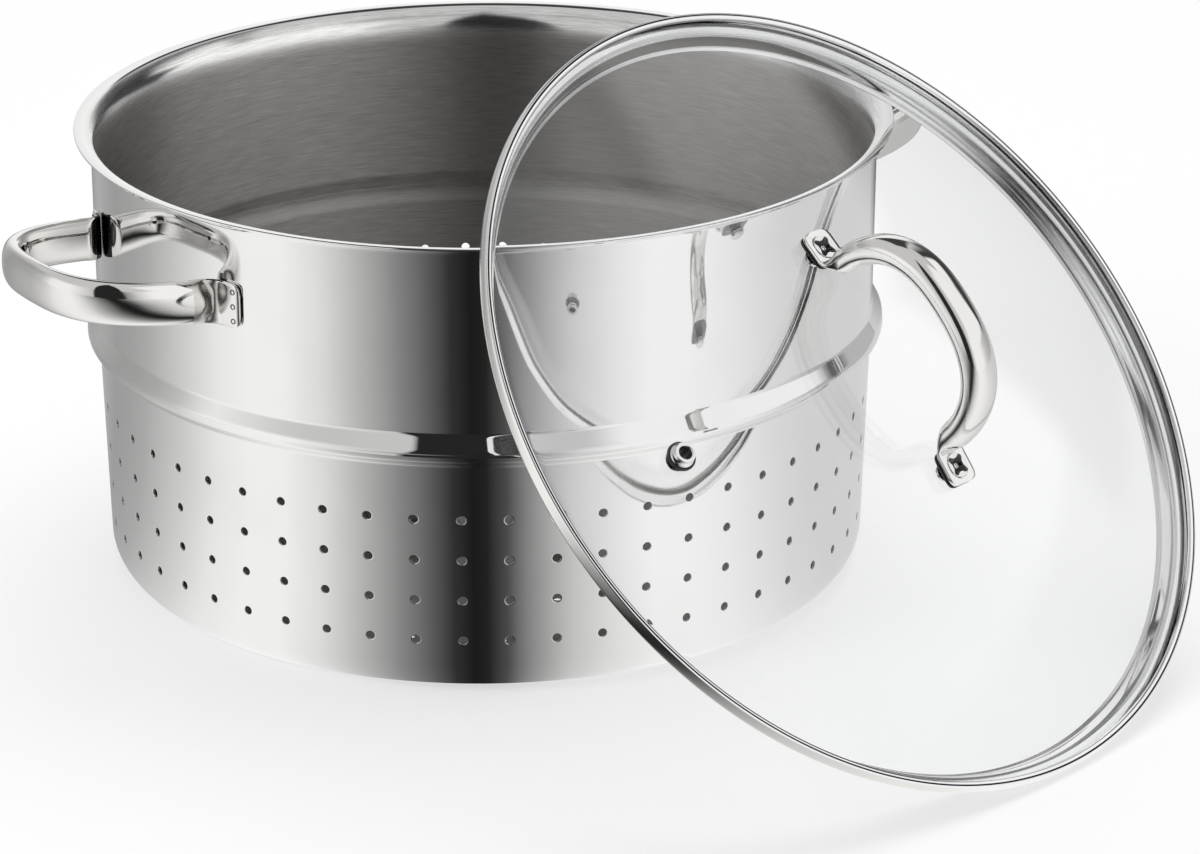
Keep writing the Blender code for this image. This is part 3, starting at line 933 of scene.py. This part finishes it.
line = curved(ring_outer, 3)
grooved = []
for here, there in zip(line, line[1:]):
    for k in range(4):
        radius = here[0] + (there[0] - here[0]) * k / 4
        level = here[1] + (there[1] - here[1]) * k / 4
        if level > -0.0020:
            level -= groove_depth * smooth(1 - abs(radius - groove_radius) / groove_half)
        grooved.append((radius, level))
grooved.append(line[-1])
ring = turned_piece("lid_rim_ring_finished", grooved + inner_side(line, ring_sheet)[::-1], 240,
                    [ring_steel], lid_place, 50)
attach(ring, "lid")
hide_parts("lid_rim_ring")


# Steam vent: a small stainless eyelet through the glass, its upper lip curled
# and its lower end rolled over, standing on a black rubber washer, which lines
# its bore too.
vent_bore = 0.0022
vent_lip = 0.0036
vent_flange = 0.0042
vent_seal_radius = 0.0050
vent_seal_thick = 0.0008
rubber_tone = (0.018, 0.018, 0.019)
bloom_tone = (0.040, 0.040, 0.041)

trim_steel = polished("steel_small_trim", (0.80, 0.80, 0.80), 0.07, 0.08, 8.0, 0.0001)

rubber, nodes, shader = finish("black_silicone_rubber")
place = nodes.place()
bloom = nodes.ranged(nodes.noise(place, 700.0, 3.0), 0.45, 0.75)
feed(shader, {"Base Color": nodes.mixed(bloom, rubber_tone, bloom_tone),
              "Roughness": nodes.times_plus(bloom, 0.15, 0.42),
              "Normal": nodes.bump(nodes.noise(place, 5200.0, 2.0), 0.3, 0.00004)})

vent_under = -glass_thick - gap
vent_seat = gap + vent_seal_thick + gap
# Each point of the half section: the radius that it keeps to, then how far out
# from that and how high it lies, in tenths of a millimetre.
on_seat = [(vent_bore, 0, 19), (vent_bore, 0, 26), (vent_bore, 2, 29), (vent_bore, 5, 30),
           (vent_lip, -2, 29), (vent_lip, 0, 26), (vent_lip, 0, 22), (vent_lip, -3, 18),
           (vent_barrel, 1, 13), (vent_barrel, 3, 9), (vent_flange, -6, 7),
           (vent_flange, -2, 5), (vent_flange, 0, 2), (vent_flange, -1, 0), (vent_barrel, 0, 0)]
under_glass = [(vent_barrel, 0, 0), (vent_flange, -5, 0), (vent_flange, -2, -2),
               (vent_flange, -4, -5), (vent_barrel, 0, -6), (vent_bore, 1, -6),
               (vent_bore, 0, -3)]
line = [(radius + out * 0.0001, level + up * 0.0001)
        for level, points in ((vent_seat, on_seat), (vent_under, under_glass))
        for radius, out, up in points]
eyelet = turned_piece("vent_eyelet_finished", line, 64, [trim_steel, rubber], vent_place,
                      slots=[0] * (len(line) - 1) + [1])
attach(eyelet, "lid")
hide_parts("vent_eyelet")


def flat_ring(bore_radius, radius, top, thickness, edge):
    # A flat ring with small rounded edges, as a closed half section.
    bottom = top - thickness
    points = []
    for centre_r, centre_z, start in ((radius - edge, top - edge, 90),
                                      (radius - edge, bottom + edge, 0),
                                      (bore_radius + edge, bottom + edge, -90),
                                      (bore_radius + edge, top - edge, -180)):
        for k in range(4):
            turn = radians(start - 30 * k)
            points.append((centre_r + edge * cos(turn), centre_z + edge * sin(turn)))
    return points


line = flat_ring(vent_barrel + gap, vent_seal_radius, gap + vent_seal_thick, vent_seal_thick,
                 0.0002)
vent_seal = turned_piece("vent_gasket_finished", line, 64, [rubber], vent_place)
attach(vent_seal, "lid")
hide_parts("vent_gasket")


# Lid handle: stainless tube flattened to an oval, bent to an arch and pressed
# flat at both ends into feet that lie on the glass over thin black pads.
arch_half_width = 0.0345
arch_top = 0.0360
arch_foot = 0.0031
arch_squareness = 2.4
arch_wide = 0.0140
arch_thick = 0.0096
foot_half_length = 0.0064
foot_wide = 0.0126
foot_thick = 0.0020
foot_corner = 0.0036
foot_fold = 0.0122
fold_depth = 0.00045
pad_thick = 0.0008
pad_margin = 0.0001
rivet_end_radius = 0.0046
rivet_end_depth = 0.0017

foot_base = gap + pad_thick + gap
foot_top = foot_base + foot_thick
foot_sphere = dome_radius + foot_base + foot_thick / 2


def arch_section(distance, turn):
    # The flat foot, a fold across its end, and the oval tube of the arch.
    across = rounded(sin(turn), 5.0)
    nose = smooth((distance - 0.0112 - 0.0022 * across ** 2) / 0.0075)
    squareness = 5.0 - 2.7 * nose
    across = rounded(sin(turn), squareness)
    half_out = foot_thick / 2 + (arch_thick - foot_thick) / 2 * nose
    half_up = foot_wide / 2 + (arch_wide - foot_wide) / 2 * nose
    half_up *= end_rounding(distance, foot_corner, 0.50)
    out = half_out * rounded(cos(turn), squareness)
    if out > 0:
        fold = exp(-((distance - foot_fold) / 0.0011) ** 2) * (1 - 0.55 * across ** 2)
        out -= fold_depth * fold
    return out, half_up * across


half = []
for k in range(25):
    turn = (foot_distance + (1 - 1.55 * k / 24) * foot_half_length) / dome_radius
    half.append(Vector((0.0, foot_sphere * sin(turn), foot_sphere * cos(turn))))
arch = []
for k in range(120):
    turn = radians(78.0) * (1 - k / 119) ** 1.15
    arch.append(Vector((0.0, arch_half_width * sin(turn) ** (2 / arch_squareness),
                        dome_radius + arch_foot
                        + (arch_top - arch_foot) * cos(turn) ** (2 / arch_squareness))))
foot_turn = (foot_distance - 0.55 * foot_half_length) / dome_radius
foot_way = Vector((0.0, -cos(foot_turn), sin(foot_turn))) * 0.0042
rise_way = (arch[0] - Vector((0.0, arch_half_width, dome_radius + arch_foot))).normalized()
half += eased(half[-1], foot_way, arch[0], rise_way * 0.0045, 24) + arch


def arch_side(way):
    return Vector((0.0, way.z, -way.y)).normalized()


form = pressed_tube(half, Vector((1.0, 0.0, 0.0)), arch_side, arch_section)
lid_handle = made_piece("lid_handle_finished", form, [handle_steel], 50, handle_place)
end_level = foot_top - 0.0001
rivet_hole = rivet_radius + gap
flare = (rivet_end_radius - rivet_radius) / rivet_end_depth
bore = [(0.0, foot_top + 0.001), (rivet_end_radius + flare * 0.0011, foot_top + 0.001),
        (rivet_hole, end_level - rivet_end_depth), (rivet_hole, foot_base - 0.001),
        (0.0, foot_base - 0.001)]
for side in (1, -1):
    drilled(lid_handle, bore, foot_place(side))
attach(lid_handle, "lid")
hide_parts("lid_handle")


# Under each foot of the lid handle: a black pad, and through both a stainless
# rivet whose outer end is spread and star-punched; inside the glass a black
# seal and a small washer under the rivet's head.
rivet_head_radius = 0.0030
rivet_head_thick = 0.0011
seal_radius = 0.0029
seal_thick = 0.0008
washer_radius = 0.0036
washer_thick = 0.0006
punch_depth = 0.0015
nub_height = 0.0004

seal_top = -glass_thick - gap
washer_top = seal_top - seal_thick - gap
head_top = washer_top - washer_thick - gap
head_under = head_top - rivet_head_thick

# Painted shade: the arms of the star-shaped dent in each rivet end are near black.
painted_shade_dent_steel = polished("steel_dent_painted_shade", (0.09, 0.087, 0.084), 0.16, 0.12, 8.0, 0.0001)


def punched_rivet():
    # The rivet, with a four-pointed dent in its outer end and a nub in the dent.
    line = [(0.0, head_under), (rivet_head_radius - 0.0012, head_under),
            (rivet_head_radius - 0.0004, head_under + 0.0002),
            (rivet_head_radius, head_top - rivet_head_thick / 2), (rivet_head_radius, head_top),
            (rivet_radius, head_top), (rivet_radius, end_level - rivet_end_depth),
            (rivet_end_radius - 0.0002, end_level - 0.0002),
            (rivet_end_radius - 0.0004, end_level)]
    line += [(rivet_end_radius * share, end_level)
             for share in (0.93, 0.88, 0.82, 0.76, 0.70, 0.62, 0.54, 0.46, 0.38, 0.32, 0.27,
                           0.235, 0.22, 0.19, 0.14, 0.115, 0.10, 0.06, 0.0)]
    form = bmesh.new()
    turned(form, line, 60)
    for point in form.verts:
        share = hypot(point.co.x, point.co.y) / rivet_end_radius
        if point.co.z > end_level - 0.00001 and share < 0.925:
            ray = (0.5 - 0.5 * cos(4 * atan2(point.co.y, point.co.x))) ** 2.6
            reach = 0.50 + 0.42 * ray
            point.co.z -= punch_depth * min(1.0, 1.45 * max(0.0, 1 - share / reach))
            nub = smooth((0.235 - share) / 0.045) - smooth((0.13 - share) / 0.03)
            point.co.z += nub_height * nub
            # Faces in the dent's arms take the painted shade finish.
            if 0.23 < share < reach - 0.02:
                for face in point.link_faces:
                    face.material_index = 1
    return form


def pad():
    # A thin pad with rounded corners and edges, and the rivet's hole in it.
    form = bmesh.new()
    half_wide = foot_wide / 2 + pad_margin
    half_long = foot_half_length + pad_margin
    turns = [2 * pi * k / 48 for k in range(48)]
    rings = []
    for inset, level in ((0.00015, gap), (0.0, gap + 0.0002), (0.0, gap + pad_thick - 0.0002),
                         (0.00015, gap + pad_thick)):
        rings.append([form.verts.new(((half_wide - inset) * rounded(cos(turn), 5.0),
                                      (half_long - inset) * rounded(sin(turn), 5.0), level))
                      for turn in turns])
    rings += [circle(form, rivet_hole, level, 48) for level in (gap + pad_thick, gap)]
    skin(form, rings + rings[:1])
    return form


seal_line = flat_ring(rivet_hole, seal_radius, seal_top, seal_thick, 0.0002)
washer_line = flat_ring(rivet_hole, washer_radius, washer_top, washer_thick, 0.00012)
for name, side in (("upper", 1), ("lower", -1)):
    where = foot_place(side)
    gasket = made_piece(name + "_handle_gasket_finished", pad(), [rubber], 40, where)
    rivet = made_piece(name + "_handle_rivet_finished", punched_rivet(),
                       [trim_steel, painted_shade_dent_steel], 30, where)
    seal = turned_piece(name + "_inner_seal_finished", seal_line, 48, [rubber], where)
    washer = turned_piece(name + "_inner_washer_finished", washer_line, 48, [trim_steel], where)
    for piece, what, finish_name in ((gasket, "_handle_gasket", "black_silicone"),
                                     (rivet, "_handle_rivet", "steel_trim"),
                                     (seal, "_inner_seal", "black_silicone"),
                                     (washer, "_inner_washer", "steel_trim")):
        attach(piece, "lid")
        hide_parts(name + what)


# The table: plain white, keeps the soft shadow of the pieces, and shows white
# to the camera and in whatever mirrors it or is looked through.
table_size = 5.0
table_tone = (0.80, 0.80, 0.80)
table_white = 0.62


def bare_finish(name):
    made = bpy.data.materials.new(name)
    made.use_nodes = True
    made.node_tree.nodes.clear()
    return made, Nodes(made.node_tree)


table_finish, nodes = bare_finish("white_table")
grain = nodes.ranged(nodes.noise(nodes.place(), 3.0, 2.0), 0.3, 0.7, 0.99, 1.0)
matt = nodes.add("BsdfDiffuse", {"Color": nodes.scaled(table_tone, grain)})
white = nodes.add("Emission", {"Color": rgba(1.0), "Strength": 1.0})
path = nodes.add("LightPath").node.outputs
seen = nodes.larger(path["Is Camera Ray"], path["Is Glossy Ray"])
seen = nodes.larger(seen, path["Is Transmission Ray"])
both = nodes.add("MixShader", {0: nodes.times(seen, table_white), 1: matt, 2: white})
nodes.add("OutputMaterial", {"Surface": both})
table_mesh = bpy.data.meshes.new("table")
table_mesh.from_pydata([(-table_size, -table_size, 0.0), (table_size, -table_size, 0.0),
                        (table_size, table_size, 0.0), (-table_size, table_size, 0.0)],
                       [], [(0, 1, 2, 3)])
table_mesh.materials.append(table_finish)
table = bpy.data.objects.new("table", table_mesh)
bpy.context.scene.collection.objects.link(table)


# A grey card lying round the basket, which only polished metal can see: it is
# what gives the mirror wall its dark middle and its soft grey sides. Each tone
# stands at its azimuth in degrees.
card_inner = 0.128
card_outer = 12.0
card_level = 0.0004
card_centre = -0.070
card_tones = [(-180, 0.08), (-143, 0.45), (-127, 0.365), (-118, 0.39), (-109, 0.45),
              (-100, 0.58), (-90, 0.74), (-81, 0.91), (-70, 0.996), (-59, 0.987),
              (-48, 0.825), (-37, 0.537), (-25, 0.263), (-16, 0.115), (-10, 0.035),
              (-4, 0.012), (0, 0.019), (6, 0.083), (12, 0.271), (25, 0.642), (37, 0.859),
              (48, 1.0), (59, 0.996), (70, 0.931), (81, 0.824), (90, 0.74), (100, 0.69),
              (127, 0.658), (143, 0.66), (152, 0.25), (160, 0.08), (180, 0.08)]


def all_round(nodes, x, toward, stops):
    # Greys round a full turn, each given at its azimuth in degrees.
    share = nodes.times_plus(nodes.maths("ARCTAN2", x, toward), 1 / (2 * pi), 0.5)
    ramp = nodes.add("ValToRGB", {0: share})
    made = ramp.node.color_ramp.elements
    for k, (azimuth, tone) in enumerate(stops):
        stop = made[k] if k < 2 else made.new(1.0)
        stop.position = (azimuth + 180) / 360
        stop.color = rgba(tone)
    return ramp


card_finish, nodes = bare_finish("grey_card")
x, y, z = nodes.parts(nodes.place())
tones = all_round(nodes, x, nodes.minus(card_centre, y), card_tones)
by_metal = nodes.maths("GREATER_THAN", nodes.add("LightPath").node.outputs["Glossy Depth"], 0.5)
either = nodes.add("MixShader", {0: by_metal, 1: nodes.add("BsdfTransparent"),
                                 2: nodes.add("Emission", {"Color": tones, "Strength": 1.0})})
nodes.add("OutputMaterial", {"Surface": either})
card = turned_piece("grey_card", [(card_inner, card_level), (card_outer, card_level)], 96,
                    [card_finish], closed=False)
for way in ("camera", "diffuse", "volume_scatter", "shadow"):
    setattr(card, "visible_" + way, False)


# The room: even soft light for matt surfaces. Polished metal sees a white wall
# behind, a pale ceiling, two bright walls in front with a tall dark gap between
# them where the camera stands, dim sides, one bright screen on the right, a
# dark one behind it, and a dark beam high up at the back.
room_light = 0.55
room_tones = [(-180, 1.0), (-168, 0.90), (-156, 0.62), (-143, 0.45), (-127, 0.37), (-118, 0.39),
              (-109, 0.45), (-100, 0.60), (-88, 0.95), (-72, 1.0), (-58, 1.0), (-48, 0.88),
              (-38, 0.76), (-25, 0.60), (-23, 0.02), (12, 0.02), (13.5, 0.30), (18, 0.42),
              (26, 0.72), (36, 1.0), (50, 1.0), (76, 1.0), (86, 0.80), (96, 0.58),
              (110, 0.46), (142, 0.44), (150, 0.12), (161, 0.12), (168, 0.90), (180, 1.0)]
gap_tones = [(-180, 0.0), (-25, 0.0), (-23, 1.0), (12, 1.0), (13.5, 0.0), (180, 0.0)]
screen = ([(-180, 0.0), (34, 0.0), (46, 1.0), (112, 1.0), (116, 0.0), (180, 0.0)], 0.27, 0.90)
over = ([(-180, 0.0), (110, 0.0), (114, 1.0), (138, 1.0), (142, 0.0), (180, 0.0)], 0.52, 0.76)
shade = ([(-180, 0.0), (112, 0.0), (116, 1.0), (150, 1.0), (162, 0.0), (180, 0.0)], 0.17, 0.78)
beam = ([(-180, 1.0), (-168, 1.0), (-163, 0.0), (163, 0.0), (168, 1.0), (180, 1.0)], 0.43, 0.84)
band_fade = 0.06
shade_tone = 0.05
ceiling_levels = (0.42, 0.64)
ceiling_tone = 0.62

room = bpy.data.worlds.new("white_room")
bpy.context.scene.world = room
room.use_nodes = True
room.node_tree.nodes.clear()
nodes = Nodes(room.node_tree)
x, y, z = nodes.parts(nodes.add("TexCoord").node.outputs["Generated"])
toward = nodes.times(y, -1.0)


def band(stops, low, high):
    # A part of the room between some azimuths and two heights.
    risen = nodes.times(nodes.ranged(z, low, low + band_fade),
                        nodes.ranged(z, high, high + band_fade, 1.0, 0.0))
    return nodes.times(risen, all_round(nodes, x, toward, stops))


ceiling = nodes.times(nodes.ranged(z, *ceiling_levels),
                      nodes.minus(1.0, all_round(nodes, x, toward, gap_tones)))
mirrored = nodes.mixed(ceiling, all_round(nodes, x, toward, room_tones), ceiling_tone)
mirrored = nodes.mixed(nodes.larger(band(*shade), band(*beam)), mirrored, shade_tone)
mirrored = nodes.mixed(nodes.larger(band(*screen), band(*over)), mirrored, 1.0)
path = nodes.add("LightPath").node.outputs
by_metal = nodes.maths("GREATER_THAN", path["Glossy Depth"], 0.5)
by_metal = nodes.larger(nodes.minus(by_metal, path["Is Diffuse Ray"]), 0.0)
clear = nodes.larger(path["Is Camera Ray"], path["Is Transmission Ray"])
seen = nodes.mixed(by_metal, nodes.mixed(clear, room_light, 1.0), mirrored)
sky = nodes.add("Background", {"Color": seen, "Strength": 1.0})
nodes.add("OutputWorld", {"Surface": sky})


# Two large soft lamps: one overhead and a little behind, one front left.
for name, spot, size, power in (("overhead_lamp", (0.2, 0.5, 1.9), 1.6, 26.0),
                                ("left_lamp", (-1.5, -0.9, 1.3), 1.1, 14.0)):
    lamp_data = bpy.data.lights.new(name, "AREA")
    lamp_data.shape = "DISK"
    lamp_data.size = size
    lamp_data.energy = power
    lamp = bpy.data.objects.new(name, lamp_data)
    lamp.location = spot
    lamp.visible_glossy = False
    lamp.visible_transmission = False
    way = Vector((0.0, 0.0, 0.05)) - Vector(spot)
    lamp.rotation_euler = way.to_track_quat("-Z", "Y").to_euler()
    bpy.context.scene.collection.objects.link(lamp)


# The camera, at the photograph's own angle.
eye_data = bpy.data.cameras.new("camera")
eye_data.lens = 130.977
eye_data.sensor_width = 36.0
eye_data.sensor_fit = "HORIZONTAL"
eye_data.clip_end = 50.0
eye = bpy.data.objects.new("camera", eye_data)
eye.location = (0.0, -1.49876, 0.64327)
eye.rotation_euler = (radians(68.202), 0.0, radians(-1.608))
bpy.context.scene.collection.objects.link(eye)
bpy.context.scene.camera = eye
bpy.context.scene.view_settings.view_transform = "Standard"
